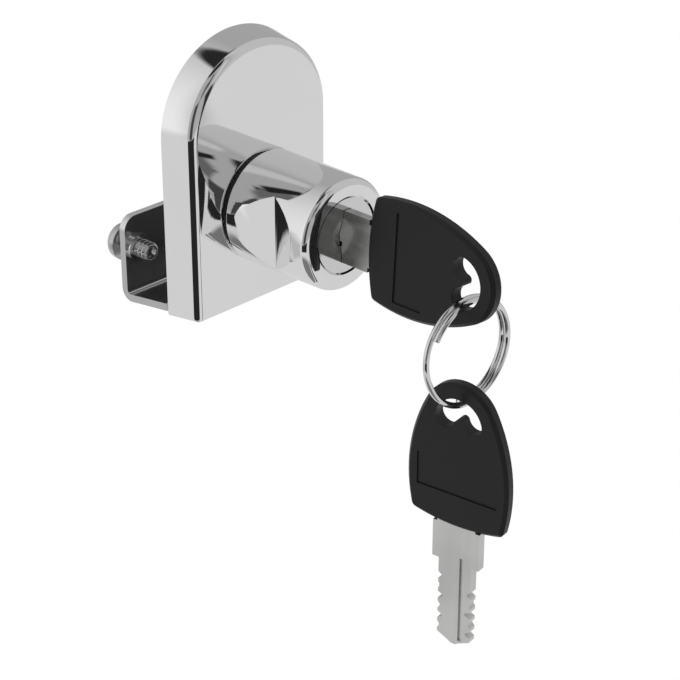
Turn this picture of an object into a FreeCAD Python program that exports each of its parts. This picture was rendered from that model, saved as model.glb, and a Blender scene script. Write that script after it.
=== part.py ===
import FreeCAD, Part
import math
import os
import Sketcher
from FreeCAD import Placement, Rotation, Vector

# Clamp-on lock for a glass cabinet door, in millimetres.
# The origin is where the lock's axis meets the face that lies on the glass.
# +X is right seen from the front, +Y goes into the glass, +Z is up.
# "Forward" distances are measured from the glass towards the front, along -Y.

SIZES = [
    # Cover
    ("pad_thick", 1.0, "rubber pad between the lock and the glass"),
    ("cover_width", 40.0, "D-shaped cover, side to side"),
    ("cover_shift", -1.4, "middle of the cover and the bracket beside the lock's axis"),
    ("cover_arch", 17.4, "straight sides end above the lock's axis"),
    ("arch_inset", 1.26, "centres of the round top's two shoulders from the cover's middle"),
    ("arch_turn", 50.0, "degrees of each shoulder, before the flatter top"),
    ("cover_drop", 20.3, "flat bottom below the lock's axis"),
    ("cover_depth", 7.0, "cover, rim to front face"),
    ("cover_wall", 1.5, "cover wall"),
    ("cover_round", 3.2, "rounding of the cover's front edge"),
    ("cover_corner", 0.8, "rounding of the cover's two bottom corners"),
    ("slide_gap", 0.12, "clearance of the sliding bolt"),
    ("seat_gap", 0.05, "clearance of pieces that sit in each other"),
    # Bracket
    ("sheet", 1.6, "steel sheet of the bracket"),
    ("bend_inside", 0.9, "inside radius of its bends"),
    ("glass_slot", 11.65, "room between the pad and the back wall"),
    ("web_rise", 3.45, "centre of the front bend above the flat bottom"),
    ("web_slope", 8.2, "degrees that the bracket's web drops towards the back"),
    ("wall_height", 17.7, "top of the back wall above the flat bottom"),
    ("wall_corner", 3.0, "rounding of the back wall's corners"),
    ("collar_radius", 2.9, "drawn collar round a clamp screw"),
    ("collar_height", 0.9, "drawn collar, out of the back wall"),
    ("clamp_inset", 3.3, "clamp screw from the side of the bracket"),
    ("clamp_rise", 10.6, "clamp screw above the flat bottom"),
    ("clamp_radius", 1.98, "clamp screw shank"),
    ("clamp_reach", 4.55, "clamp screw tip past the back wall"),
    ("clamp_stand", 1.7, "clamp screw head off the back wall"),
    ("clamp_head", 4.0, "clamp screw head radius"),
    ("clamp_head_tall", 2.7, "clamp screw head height"),
    ("clamp_dome", 1.7, "rounding of the clamp screw's head"),
    ("thread_gap", 0.04, "clearance of the clamp screw in its collar"),
    ("fix_radius", 1.25, "screws that hold the bracket in the cover"),
    ("fix_head", 2.3, "their head radius"),
    ("fix_inset", 5.6, "screws from the outline of the cover"),
    ("fix_rise", 6.5, "lower pair above the flat bottom"),
    ("fix_angle", 39.6, "upper pair round the arch, degrees"),
    ("boss_radius", 2.7, "bosses in the cover"),
    # Knob with the lock inside
    ("washer_thick", 0.7, "washer under the knob"),
    ("washer_radius", 11.3, "washer"),
    ("knob_base", 12.0, "knob radius at the cover"),
    ("knob_front", 11.7, "knob radius at its face"),
    ("knob_length", 22.2, "knob from the washer to its face"),
    ("knob_round", 1.5, "rounding of the knob's front edge"),
    ("knob_edge", 0.4, "bevel of the knob's base edge"),
    ("neck_radius", 7.8, "threaded neck through the cover"),
    ("nut_radius", 9.5, "round nut behind the cover's front"),
    ("nut_thick", 0.9, "round nut"),
    ("lock_washer_thick", 0.4, "toothed washer between the cover and the nut"),
    ("lock_washer_radius", 9.3, "toothed washer"),
    ("lock_washer_notches", 10, "notches round the toothed washer"),
    ("nut_slot", 2.2, "spanner slots in the nut"),
    ("grip_start", 2.0, "finger grip, from the knob's base"),
    ("grip_floor", 8.9, "finger grip floor from the axis"),
    ("grip_ramp", 7.6, "finger grip, base to the end of its ramp"),
    ("grip_flat", 11.4, "finger grip, base to the start of its ledge"),
    ("grip_round", 9.7, "radius of the ledge that the fingers pull on"),
    # Plug
    ("plug_face", 7.8, "radius of the plug's face"),
    ("plug_sunk", 0.2, "plug face behind the knob's face"),
    ("plug_flange", 2.5, "thickness of the plug's face"),
    ("recess_radius", 3.9, "dished recess in the plug's face"),
    ("recess_deep", 1.2, "dished recess in the plug's face"),
    ("plug_radius", 6.3, "plug barrel"),
    ("turn_gap", 0.06, "running clearance of the plug"),
    ("plug_lean", 3.5, "degrees that the key is drawn past its stop"),
    ("clip_thick", 0.5, "snap ring behind the knob"),
    ("clip_groove", 5.6, "bottom of the snap ring's groove"),
    ("clip_radius", 7.4, "snap ring outside"),
    ("crank_offset", 3.5, "crank pin from the axis"),
    ("crank_radius", 1.4, "crank pin"),
    ("slot_room", 0.75, "play of the crank pin up and down in the bolt"),
    ("wafer_count", 6, "wafers"),
    ("wafer_pitch", 2.4, "wafer to wafer"),
    ("wafer_first", 5.0, "first wafer behind the plug's face"),
    ("wafer_thick", 0.9, "wafer"),
    ("wafer_width", 6.3, "wafer"),
    ("wafer_window", 2.5, "width of the wafer's window"),
    ("spring_side", 4.1, "wafer spring from the plug's axis"),
    ("spring_radius", 0.4, "wafer spring"),
    ("spring_room", 3.3, "top of the spring's pocket above the axis"),
    ("ear_reach", 4.95, "end of the wafer's ear, from the axis"),
    ("ear_tall", 0.9, "wafer's ear"),
    # Bolt
    ("bolt_width", 12.0, "latch bolt"),
    ("bolt_plate", 1.4, "its plate behind the plug"),
    ("bolt_nose", 2.2, "its nose in front of the plate"),
    ("bolt_shy", 0.1, "nose end above the cover's flat bottom, drawn back"),
    ("bolt_rim", 1.5, "plate above the crank slot"),
    ("guide_wall", 1.2, "ribs beside the bolt"),
    # Keys
    ("blade_thick", 2.0, "key blade"),
    ("blade_width", 7.8, "key blade"),
    ("blade_length", 19.6, "key blade past the shoulder"),
    ("shoulder_width", 11.0, "key shoulder"),
    ("shoulder_length", 8.5, "key shoulder out of the head"),
    ("shoulder_sunk", 1.5, "shoulder in the plug's face"),
    ("tang_width", 9.0, "tang in the head"),
    ("tang_length", 10.0, "tang in the head"),
    ("key_gap", 0.1, "clearance of the key in the plug"),
    ("groove_width", 1.0, "groove along the blade"),
    ("groove_deep", 0.45, "groove along the blade"),
    ("groove_offset", 1.6, "groove from the blade's middle"),
    ("cut_start", 4.2, "first cut, from the shoulder"),
    ("cut_end", 3.4, "last cut, from the tip"),
    ("head_length", 32.2, "key head"),
    ("head_width", 23.5, "key head at its widest"),
    ("head_waist", 10.3, "widest place, from the blade's end"),
    ("head_end", 8.35, "radius of the round end"),
    ("head_bow", 1.4, "bow of the end at the blade"),
    ("head_thick", 3.0, "key head"),
    ("head_edge", 0.7, "bevel of the key head"),
    ("head_corner", 1.3, "rounding of its two corners"),
    ("hole_back", 8.7, "centre of the ring hole's bend, from the round end"),
    ("hole_bend", 3.2, "radius of the hole's middle line"),
    ("hole_half", 2.3, "half the hole's width"),
    ("hole_sweep", 76.0, "half the hole's angle"),
    ("field_start", 7.35, "sunk rectangle, from the blade's end"),
    ("field_long", 7.3, "sunk rectangle along the head"),
    ("field_wide", 18.6, "sunk rectangle across the head"),
    ("field_deep", 0.3, "sunk rectangle"),
    # Ring and hanging key
    ("ring_radius", 10.8, "split ring, middle of the wire"),
    ("wire_radius", 0.62, "ring wire"),
    ("ring_pitch", 1.34, "turn to turn of the ring"),
    ("ring_overlap", 248.0, "degrees where the ring has two turns"),
    ("ring_start", 262.0, "where its first turn starts, degrees"),
    ("ring_yaw", -2.0, "ring turned about the upright, degrees"),
    ("ring_lean", 4.0, "contact point off the ring's top, degrees"),
    ("hang_back", 7.65, "ring wire from the first key's round end"),
    ("hang_drop", 3.92, "ring wire below the lock's axis"),
    ("hang_grip", 4.35, "ring wire from the second key's round end"),
    ("second_yaw", 8.0, "second key turned about the upright, degrees"),
]

# Cuts of the two identical keys: depth at each place, on the two edges
CUTS_ONE = [0.0, 0.9, 0.4, 1.3, 0.5, 1.0]
CUTS_TWO = [0.8, 0.3, 1.2, 0.5, 1.1, 0.4]

# Small turned edges are rounded in this many flat steps
ROUND_STEPS = 4

doc = FreeCAD.newDocument("glass_door_lock")
sheet = doc.addObject("Spreadsheet::Sheet", "sizes")
nodes = []


class Size:
    """A number together with the sheet expression that it comes from."""

    def __init__(self, text, number):
        self.text = text
        self.number = number

    def joined(self, sign, other, number):
        return Size("(%s %s %s)" % (self.text, sign, as_size(other).text), number)

    def __add__(self, other):
        return self.joined("+", other, self.number + as_size(other).number)

    def __sub__(self, other):
        return self.joined("-", other, self.number - as_size(other).number)

    def __mul__(self, other):
        return self.joined("*", other, self.number * as_size(other).number)

    def __truediv__(self, other):
        return self.joined("/", other, self.number / as_size(other).number)

    def __neg__(self):
        return Size("(0 - %s)" % self.text, -self.number)

    def __radd__(self, other):
        return as_size(other) + self

    def __rsub__(self, other):
        return as_size(other) - self


def as_size(value):
    if isinstance(value, Size):
        return value
    return Size("%r" % float(value), float(value))


def write_sheet():
    for row, (alias, number, note) in enumerate(SIZES, start=1):
        sheet.set("A%d" % row, alias)
        sheet.set("B%d" % row, str(number))
        sheet.set("C%d" % row, note)
        sheet.setAlias("B%d" % row, alias)
    doc.recompute()


def size(alias):
    return Size("sizes." + alias, float(getattr(sheet, alias)))


def bind(thing, name, value):
    """Set a property of an object and tie it to the sheet."""
    value = as_size(value)
    path = name.split(".")
    if len(path) == 1:
        setattr(thing, name, value.number)
    thing.setExpression(name, value.text)


# Sketches

def body(name):
    part = doc.addObject("PartDesign::Body", name)
    part.Label = name
    nodes.append(part)
    return part


def sketch_on(part, name, role, offset=0.0):
    """A sketch on one of the body's planes: front (XZ), side (YZ) or floor (XY)."""
    plane = [f for f in part.Origin.OriginFeatures if f.Role == role][0]
    sketch = part.newObject("Sketcher::SketchObject", name)
    sketch.AttachmentSupport = [(plane, "")]
    sketch.MapMode = "FlatFace"
    offset = as_size(offset)
    sketch.AttachmentOffset = Placement(Vector(0, 0, offset.number), Rotation())
    sketch.setExpression("AttachmentOffset.Base.z", offset.text)
    return sketch


def datum(sketch, kind, where, value):
    """A sketch dimension that is tied to the sheet."""
    value = as_size(value)
    index = sketch.addConstraint(Sketcher.Constraint(kind, *where, value.number))
    sketch.setExpression("Constraints[%d]" % index, value.text)


def outline(sketch, points, arcs=()):
    """Closed outline through the points. arcs maps an edge to its radius and turn:
    the turn is 1 where the arc runs anticlockwise and -1 where it runs clockwise."""
    arcs = dict(arcs)
    points = [(as_size(x), as_size(y)) for x, y in points]
    places = [Vector(x.number, y.number, 0) for x, y in points]
    count = len(points)
    starts = []
    first = sketch.GeometryCount
    for i in range(count):
        a = places[i]
        b = places[(i + 1) % count]
        if i not in arcs:
            sketch.addGeometry(Part.LineSegment(a, b))
            starts.append((1, 2))
            continue
        radius, turn = arcs[i]
        radius = as_size(radius)
        middle = (a + b) * 0.5
        along = (b - a).normalize()
        left = Vector(-along.y, along.x, 0)
        rise = math.sqrt(max(radius.number ** 2 - (b - a).Length ** 2 / 4, 0.0))
        centre = middle + left * (rise * turn)
        circle = Part.Circle(centre, Vector(0, 0, 1), radius.number)
        ends = (a, b) if turn > 0 else (b, a)
        angles = [math.atan2(p.y - centre.y, p.x - centre.x) for p in ends]
        sketch.addGeometry(Part.ArcOfCircle(circle, angles[0], angles[1]))
        starts.append((1, 2) if turn > 0 else (2, 1))
    for i in range(count):
        following = (i + 1) % count
        sketch.addConstraint(Sketcher.Constraint(
            "Coincident", first + i, starts[i][1], first + following, starts[following][0]))
    for i, (x, y) in enumerate(points):
        datum(sketch, "DistanceX", (first + i, starts[i][0]), x)
        datum(sketch, "DistanceY", (first + i, starts[i][0]), y)
    for i, (radius, turn) in arcs.items():
        following = (i + 1) % count
        chord = places[following] - places[i]
        if abs(chord.Length - 2 * as_size(radius).number) > 1e-6:
            datum(sketch, "Radius", (first + i,), radius)
        elif abs(chord.x) > abs(chord.y):
            # The ends of a half circle give its radius, so its middle is placed instead
            middle = (points[i][1] + points[following][1]) / 2
            datum(sketch, "DistanceY", (first + i, 3), middle)
        else:
            middle = (points[i][0] + points[following][0]) / 2
            datum(sketch, "DistanceX", (first + i, 3), middle)


def quarter(x, y, radius, down):
    """Points of a quarter round about (x, y), from its side to its end, in flat steps."""
    points = []
    for i in range(ROUND_STEPS + 1):
        turn = math.pi / 2 * i / ROUND_STEPS
        points.append((x + radius * math.cos(turn), y + radius * (down * math.sin(turn))))
    return points


def circle(sketch, x, y, radius):
    x, y, radius = as_size(x), as_size(y), as_size(radius)
    centre = Vector(x.number, y.number, 0)
    index = sketch.addGeometry(Part.Circle(centre, Vector(0, 0, 1), radius.number))
    datum(sketch, "DistanceX", (index, 3), x)
    datum(sketch, "DistanceY", (index, 3), y)
    datum(sketch, "Radius", (index,), radius)


def rectangle(sketch, left, low, right, high):
    outline(sketch, [(left, low), (right, low), (right, high), (left, high)])


def arch(sketch, half, low, middle):
    """Flat bottom, straight sides and a round top, a little flatter than a half circle."""
    inset = size("arch_inset")
    turn = math.radians(size("arch_turn").number)
    shoulder = half - inset
    flatter = shoulder + inset / math.cos(turn)
    x = inset + shoulder * math.cos(turn)
    high = middle + shoulder * math.sin(turn)
    outline(sketch, [(SHIFT - half, low), (SHIFT + half, low), (SHIFT + half, middle),
                     (SHIFT + x, high), (SHIFT - x, high), (SHIFT - half, middle)],
            {2: (shoulder, 1), 3: (flatter, 1), 4: (shoulder, 1)})


# Solid features

def finish(part, feature):
    """Recompute, and stop at the first feature that fails."""
    doc.recompute()
    for thing in doc.Objects:
        if "Invalid" in thing.State or "Error" in thing.State:
            raise RuntimeError("%s fails in %s" % (thing.Name, part.Label))
    if part.Shape.isNull():
        raise RuntimeError("%s leaves no shape" % feature.Name)
    return feature


def pad(part, name, sketch, length, backward=False, both=False):
    feature = part.newObject("PartDesign::Pad", name)
    feature.Profile = sketch
    bind(feature, "Length", length)
    feature.Reversed = backward
    feature.Midplane = both
    return finish(part, feature)


def cut(part, name, sketch, length, forward=False, both=False):
    """A pocket. It has to take material away, or the part is not the one drawn."""
    before = part.Shape.Volume
    feature = part.newObject("PartDesign::Pocket", name)
    feature.Profile = sketch
    bind(feature, "Length", length)
    feature.Reversed = forward
    feature.Midplane = both
    finish(part, feature)
    if part.Shape.Volume > before - 1e-6:
        raise RuntimeError("pocket %s cuts nothing" % name)
    return feature


def revolve(part, name, sketch):
    feature = part.newObject("PartDesign::Revolution", name)
    feature.Profile = sketch
    feature.ReferenceAxis = (sketch, ["V_Axis"])
    feature.Angle = 360.0
    return finish(part, feature)


def dress(part, kind, name, wanted, amount):
    """Fillet or Chamfer on the edges that the test picks."""
    base = part.Tip
    edges = []
    for i, edge in enumerate(base.Shape.Edges, start=1):
        if wanted(edge):
            edges.append("Edge%d" % i)
    feature = part.newObject("PartDesign::" + kind, name)
    if not edges:
        raise RuntimeError("no edges for %s" % name)
    feature.Base = (base, edges)
    bind(feature, "Radius" if kind == "Fillet" else "Size", amount)
    return finish(part, feature)


def near(a, b):
    return abs(a - b) < 1e-4


def flat_at(y):
    """Test for edges that lie in one plane across the lock's axis."""
    def test(edge):
        box = edge.BoundBox
        return near(box.YMin, y) and near(box.YMax, y)
    return test


def along_y(x, z):
    """Test for edges that run along Y, x to either side of the cover's middle."""
    def test(edge):
        box = edge.BoundBox
        if box.YLength < 1e-3 or box.XLength > 1e-4 or box.ZLength > 1e-4:
            return False
        return near(abs(box.XMin - SHIFT.number), x) and near(box.ZMin, z)
    return test


write_sheet()

# Places along the lock's axis, forward of the glass
RIM = size("pad_thick")
LEG_FRONT = RIM + size("sheet")
COVER_FRONT = RIM + size("cover_depth")
COVER_INSIDE = COVER_FRONT - size("cover_wall")
KNOB_BASE = COVER_FRONT + size("washer_thick")
KNOB_FACE = KNOB_BASE + size("knob_length")
PLUG_FACE = KNOB_FACE - size("plug_sunk")
FLANGE_BACK = PLUG_FACE - size("plug_flange")
NUT_FRONT = COVER_INSIDE - size("lock_washer_thick")
NECK_END = NUT_FRONT - size("nut_thick")
BOLT_BACK = LEG_FRONT + size("slide_gap")
BOLT_STEP = BOLT_BACK + size("bolt_plate")
BOLT_FRONT = BOLT_STEP + size("bolt_nose")
PLUG_END = BOLT_STEP + size("slide_gap")
CLIP_BACK = NECK_END - size("seat_gap") - size("clip_thick")
HALF_COVER = size("cover_width") / 2
HALF_BOLT = size("bolt_width") / 2
BOTTOM = -size("cover_drop")
SHIFT = size("cover_shift")
FRONT_BEND = BOTTOM + size("web_rise")


def fixing_places():
    """Middles of the four screws that hold the bracket in the cover."""
    reach = HALF_COVER - size("fix_inset")
    turn = math.radians(size("fix_angle").number)
    low = (reach, BOTTOM + size("fix_rise"))
    high = (reach * math.cos(turn), size("cover_arch") + reach * math.sin(turn))
    for x, z in (low, high):
        yield SHIFT + x, z
        yield SHIFT - x, z


def make_cover():
    part = body("cover")
    sketch = sketch_on(part, "cover_outline", "XZ_Plane", RIM)
    arch(sketch, HALF_COVER, BOTTOM, size("cover_arch"))
    pad(part, "cover_block", sketch, size("cover_depth"))
    corners = along_y(HALF_COVER.number, BOTTOM.number)
    dress(part, "Fillet", "cover_corners", corners, size("cover_corner"))
    dress(part, "Fillet", "cover_front_edge", flat_at(-COVER_FRONT.number), size("cover_round"))
    wall = size("cover_wall")
    sketch = sketch_on(part, "cover_inside", "XZ_Plane", RIM)
    arch(sketch, HALF_COVER - wall, BOTTOM + wall, size("cover_arch"))
    cut(part, "cover_hollow", sketch, size("cover_depth") - wall, forward=True)
    sketch = sketch_on(part, "neck_hole_outline", "XZ_Plane", COVER_INSIDE)
    circle(sketch, 0, 0, size("neck_radius") + size("seat_gap"))
    cut(part, "neck_hole", sketch, wall, forward=True)
    # Mouth for the bolt's nose, and a gap for the bracket's bend
    half = HALF_BOLT + size("slide_gap")
    sketch = sketch_on(part, "bolt_mouth_outline", "XY_Plane", BOTTOM)
    rectangle(sketch, -half, -(BOLT_FRONT + size("slide_gap")), half, -RIM)
    cut(part, "bolt_mouth", sketch, wall, forward=True)
    half = HALF_COVER - wall
    floor = FRONT_BEND - size("bend_inside") - size("sheet") - size("seat_gap")
    sketch = sketch_on(part, "bend_gap_outline", "XY_Plane", floor)
    rectangle(sketch, SHIFT - half, -(LEG_FRONT + size("seat_gap")), SHIFT + half, -RIM)
    cut(part, "bend_gap", sketch, wall, forward=True)
    # Bosses for the four screws
    tall = COVER_INSIDE - LEG_FRONT - size("seat_gap")
    sketch = sketch_on(part, "boss_outline", "XZ_Plane", COVER_INSIDE)
    for x, z in fixing_places():
        circle(sketch, x, z, size("boss_radius"))
    pad(part, "bosses", sketch, tall, backward=True)
    sketch = sketch_on(part, "boss_bores_outline", "XZ_Plane", COVER_INSIDE)
    for x, z in fixing_places():
        circle(sketch, x, z, size("fix_radius"))
    cut(part, "boss_bores", sketch, tall)
    # Ribs that guide the bolt's nose
    start = HALF_BOLT + size("slide_gap")
    low = BOTTOM + wall
    high = -(size("nut_radius") + size("seat_gap") + 0.2)
    for side in (-1, 1):
        sketch = sketch_on(part, "rib_outline", "XZ_Plane", COVER_INSIDE)
        edge = start + size("guide_wall")
        if side > 0:
            rectangle(sketch, start, low, edge, high)
        else:
            rectangle(sketch, -edge, low, -start, high)
        pad(part, "guide_rib", sketch, tall, backward=True)


def make_knob():
    part = body("lock_knob")
    sketch = sketch_on(part, "knob_profile", "XY_Plane")
    bore = size("plug_radius") + size("turn_gap")
    face = size("plug_face") + size("turn_gap")
    neck = size("neck_radius")
    base = size("knob_base")
    front = size("knob_front")
    edge = size("knob_edge")
    rounding = size("knob_round")
    seat = FLANGE_BACK - size("turn_gap")
    outline(sketch, [
        (bore, -NECK_END), (neck, -NECK_END), (neck, -KNOB_BASE),
        (base - edge, -KNOB_BASE), (base, -(KNOB_BASE + edge)),
        *quarter(front - rounding, -(KNOB_FACE - rounding), rounding, -1),
        (face, -KNOB_FACE), (face, -seat), (bore, -seat)])
    revolve(part, "knob_turned", sketch)
    # Finger grips: a ramp, a floor and a round ledge, on both sides
    outside = base + 2
    floor = size("grip_floor")
    reach = size("grip_round")
    for side in (-1, 1):
        sketch = sketch_on(part, "grip_outline", "XY_Plane")
        ramp = KNOB_BASE + size("grip_ramp")
        flat = KNOB_BASE + size("grip_flat")
        start = KNOB_BASE + size("grip_start")
        points = [(outside, -start), (base, -start), (floor, -ramp), (floor, -flat),
                  (floor + reach, -(flat + reach)), (outside + reach, -(flat + reach)),
                  (outside + reach, -start)]
        if side < 0:
            points = [(-as_size(x), y) for x, y in points]
        outline(sketch, points, {3: (reach, -side)})
        cut(part, "finger_grip", sketch, base * 3, both=True)
    # Grooves that the wafers spring into when the key is out
    half = size("wafer_width") / 2 + 0.3
    room = size("plug_radius") + 1.4
    first = PLUG_FACE - size("wafer_first") + size("wafer_pitch") / 2
    last = PLUG_FACE - size("wafer_first") - size("wafer_pitch") * size("wafer_count")
    sketch = sketch_on(part, "wafer_groove_outline", "XZ_Plane", last)
    rectangle(sketch, -half, -room, half, room)
    cut(part, "wafer_grooves", sketch, first - last, forward=True)


def make_washer():
    part = body("base_washer")
    sketch = sketch_on(part, "washer_outline", "XZ_Plane", COVER_FRONT)
    circle(sketch, 0, 0, size("washer_radius"))
    circle(sketch, 0, 0, size("neck_radius") + size("seat_gap"))
    pad(part, "washer_disc", sketch, size("washer_thick"))


def make_nut():
    part = body("knob_nut")
    sketch = sketch_on(part, "nut_outline", "XZ_Plane", NECK_END)
    circle(sketch, 0, 0, size("nut_radius"))
    circle(sketch, 0, 0, size("neck_radius"))
    pad(part, "nut_disc", sketch, size("nut_thick"))
    half = size("nut_slot") / 2
    inner = size("neck_radius") + 0.6
    outer = size("nut_radius") + 1
    sketch = sketch_on(part, "nut_slot_outline", "XZ_Plane", NECK_END)
    rectangle(sketch, inner, -half, outer, half)
    rectangle(sketch, -outer, -half, -inner, half)
    cut(part, "nut_slots", sketch, size("nut_thick"), forward=True)


def make_lock_washer():
    part = body("lock_washer")
    outer = size("lock_washer_radius")
    sketch = sketch_on(part, "lock_washer_outline", "XZ_Plane", NUT_FRONT)
    circle(sketch, 0, 0, outer)
    circle(sketch, 0, 0, size("neck_radius") + size("seat_gap") * 2)
    pad(part, "lock_washer_disc", sketch, size("lock_washer_thick"))
    count = int(size("lock_washer_notches").number)
    sketch = sketch_on(part, "lock_washer_notch_outline", "XZ_Plane", NUT_FRONT)
    inner = outer - 0.6
    beyond = outer + 1
    half = math.pi / count / 3
    for i in range(count):
        turn = 2 * math.pi * i / count
        outline(sketch, [(inner * math.cos(turn), inner * math.sin(turn)),
                         (beyond * math.cos(turn - half), beyond * math.sin(turn - half)),
                         (beyond * math.cos(turn + half), beyond * math.sin(turn + half))])
    cut(part, "lock_washer_teeth", sketch, size("lock_washer_thick"), forward=True)


def make_bracket():
    part = body("clamp_bracket")
    sheet_thick = size("sheet")
    inner = size("bend_inside")
    outer = inner + sheet_thick
    back = size("glass_slot")
    joint = FRONT_BEND + 2
    top = BOTTOM + size("wall_height")
    # The web drops towards the back, so the front bend is a little open and the back one closed
    slope = math.radians(size("web_slope").number)
    aside = math.sin(slope)
    down = math.cos(slope)
    front = inner - RIM
    rear = back - inner
    back_bend = FRONT_BEND - (rear - front) * math.tan(slope)
    sketch = sketch_on(part, "bracket_profile", "YZ_Plane", SHIFT)
    outline(sketch, [
        (-LEG_FRONT, joint), (-LEG_FRONT, FRONT_BEND),
        (front - outer * aside, FRONT_BEND - outer * down),
        (rear - outer * aside, back_bend - outer * down),
        (back + sheet_thick, back_bend), (back + sheet_thick, top), (back, top), (back, back_bend),
        (rear - inner * aside, back_bend - inner * down),
        (front - inner * aside, FRONT_BEND - inner * down), (-RIM, FRONT_BEND), (-RIM, joint)],
        {1: (outer, 1), 3: (outer, 1), 7: (inner, -1), 9: (inner, -1)})
    pad(part, "bracket_channel", sketch, size("cover_width"), both=True)
    dress(part, "Fillet", "wall_corners", along_y(HALF_COVER.number, top.number),
          size("wall_corner"))
    # Inside the cover the leg is narrower than the channel
    half = HALF_COVER - size("cover_wall") - size("seat_gap")
    for side in (-1, 1):
        sketch = sketch_on(part, "side_notch_outline", "XZ_Plane", RIM - 0.1)
        if side > 0:
            rectangle(sketch, SHIFT + half, BOTTOM - 1, SHIFT + HALF_COVER + 1, joint + 1)
        else:
            rectangle(sketch, SHIFT - HALF_COVER - 1, BOTTOM - 1, SHIFT - half, joint + 1)
        cut(part, "side_notch", sketch, sheet_thick + 1, forward=True)
    sketch = sketch_on(part, "leg_outline", "XZ_Plane", RIM)
    arch(sketch, half, joint - 1, size("cover_arch"))
    pad(part, "bracket_leg", sketch, sheet_thick)
    # Countersunk holes for the four screws
    sketch = sketch_on(part, "fixing_hole_outline", "XZ_Plane", RIM)
    for x, z in fixing_places():
        circle(sketch, x, z, size("fix_radius") + size("seat_gap"))
    cut(part, "fixing_holes", sketch, sheet_thick, forward=True)
    dress(part, "Chamfer", "countersinks", screw_mouth, size("fix_head") - size("fix_radius"))
    # Drawn collars with the tapped holes for the clamp screws
    drop = BOTTOM + size("clamp_rise")
    reach = HALF_COVER - size("clamp_inset")
    sketch = sketch_on(part, "collar_outline", "XZ_Plane", -back)
    circle(sketch, SHIFT + reach, drop, size("collar_radius"))
    circle(sketch, SHIFT - reach, drop, size("collar_radius"))
    pad(part, "collars", sketch, size("collar_height"))
    sketch = sketch_on(part, "clamp_bore_outline", "XZ_Plane", size("collar_height") - back)
    circle(sketch, SHIFT + reach, drop, size("clamp_radius") + size("thread_gap"))
    circle(sketch, SHIFT - reach, drop, size("clamp_radius") + size("thread_gap"))
    cut(part, "clamp_bores", sketch, size("collar_height") + sheet_thick)


def screw_mouth(edge):
    """Circles of the fixing holes on the side of the leg that faces the glass."""
    if not isinstance(edge.Curve, Part.Circle):
        return False
    radius = (size("fix_radius") + size("seat_gap")).number
    return near(edge.Curve.Radius, radius) and near(edge.BoundBox.YMin, -RIM.number)


def make_fixing_screws():
    """Four countersunk screws, each turned from its profile."""
    radius = size("fix_radius").number
    head = size("fix_head").number - 0.05
    base = -RIM.number - 0.05
    rake = head - radius
    length = 4.6
    profile = Part.makePolygon([
        Vector(0, base, 0), Vector(head, base, 0), Vector(radius, base - rake, 0),
        Vector(radius, base - length, 0), Vector(0, base - length, 0), Vector(0, base, 0)])
    turned = Part.Face(profile).revolve(Vector(0, 0, 0), Vector(0, 1, 0), 360)
    slot = Part.makeBox(head * 1.2, 0.7, 0.5, Vector(-head * 0.6, base - 0.7, -0.25))
    screw = turned.cut(slot)
    copies = []
    for x, z in fixing_places():
        copies.append(screw.translated(Vector(x.number, 0, z.number)))
    group = doc.addObject("Part::Feature", "bracket_screws")
    group.Label = "bracket_screws"
    group.Shape = Part.Compound(copies)
    nodes.append(group)


def make_glass_pad():
    part = body("glass_pad")
    inset = HALF_COVER - 2.6
    low = BOTTOM + size("sheet") + size("bend_inside") + 1
    sketch = sketch_on(part, "pad_outline", "XZ_Plane")
    arch(sketch, inset, low, size("cover_arch"))
    pad(part, "pad_sheet", sketch, RIM)


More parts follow.
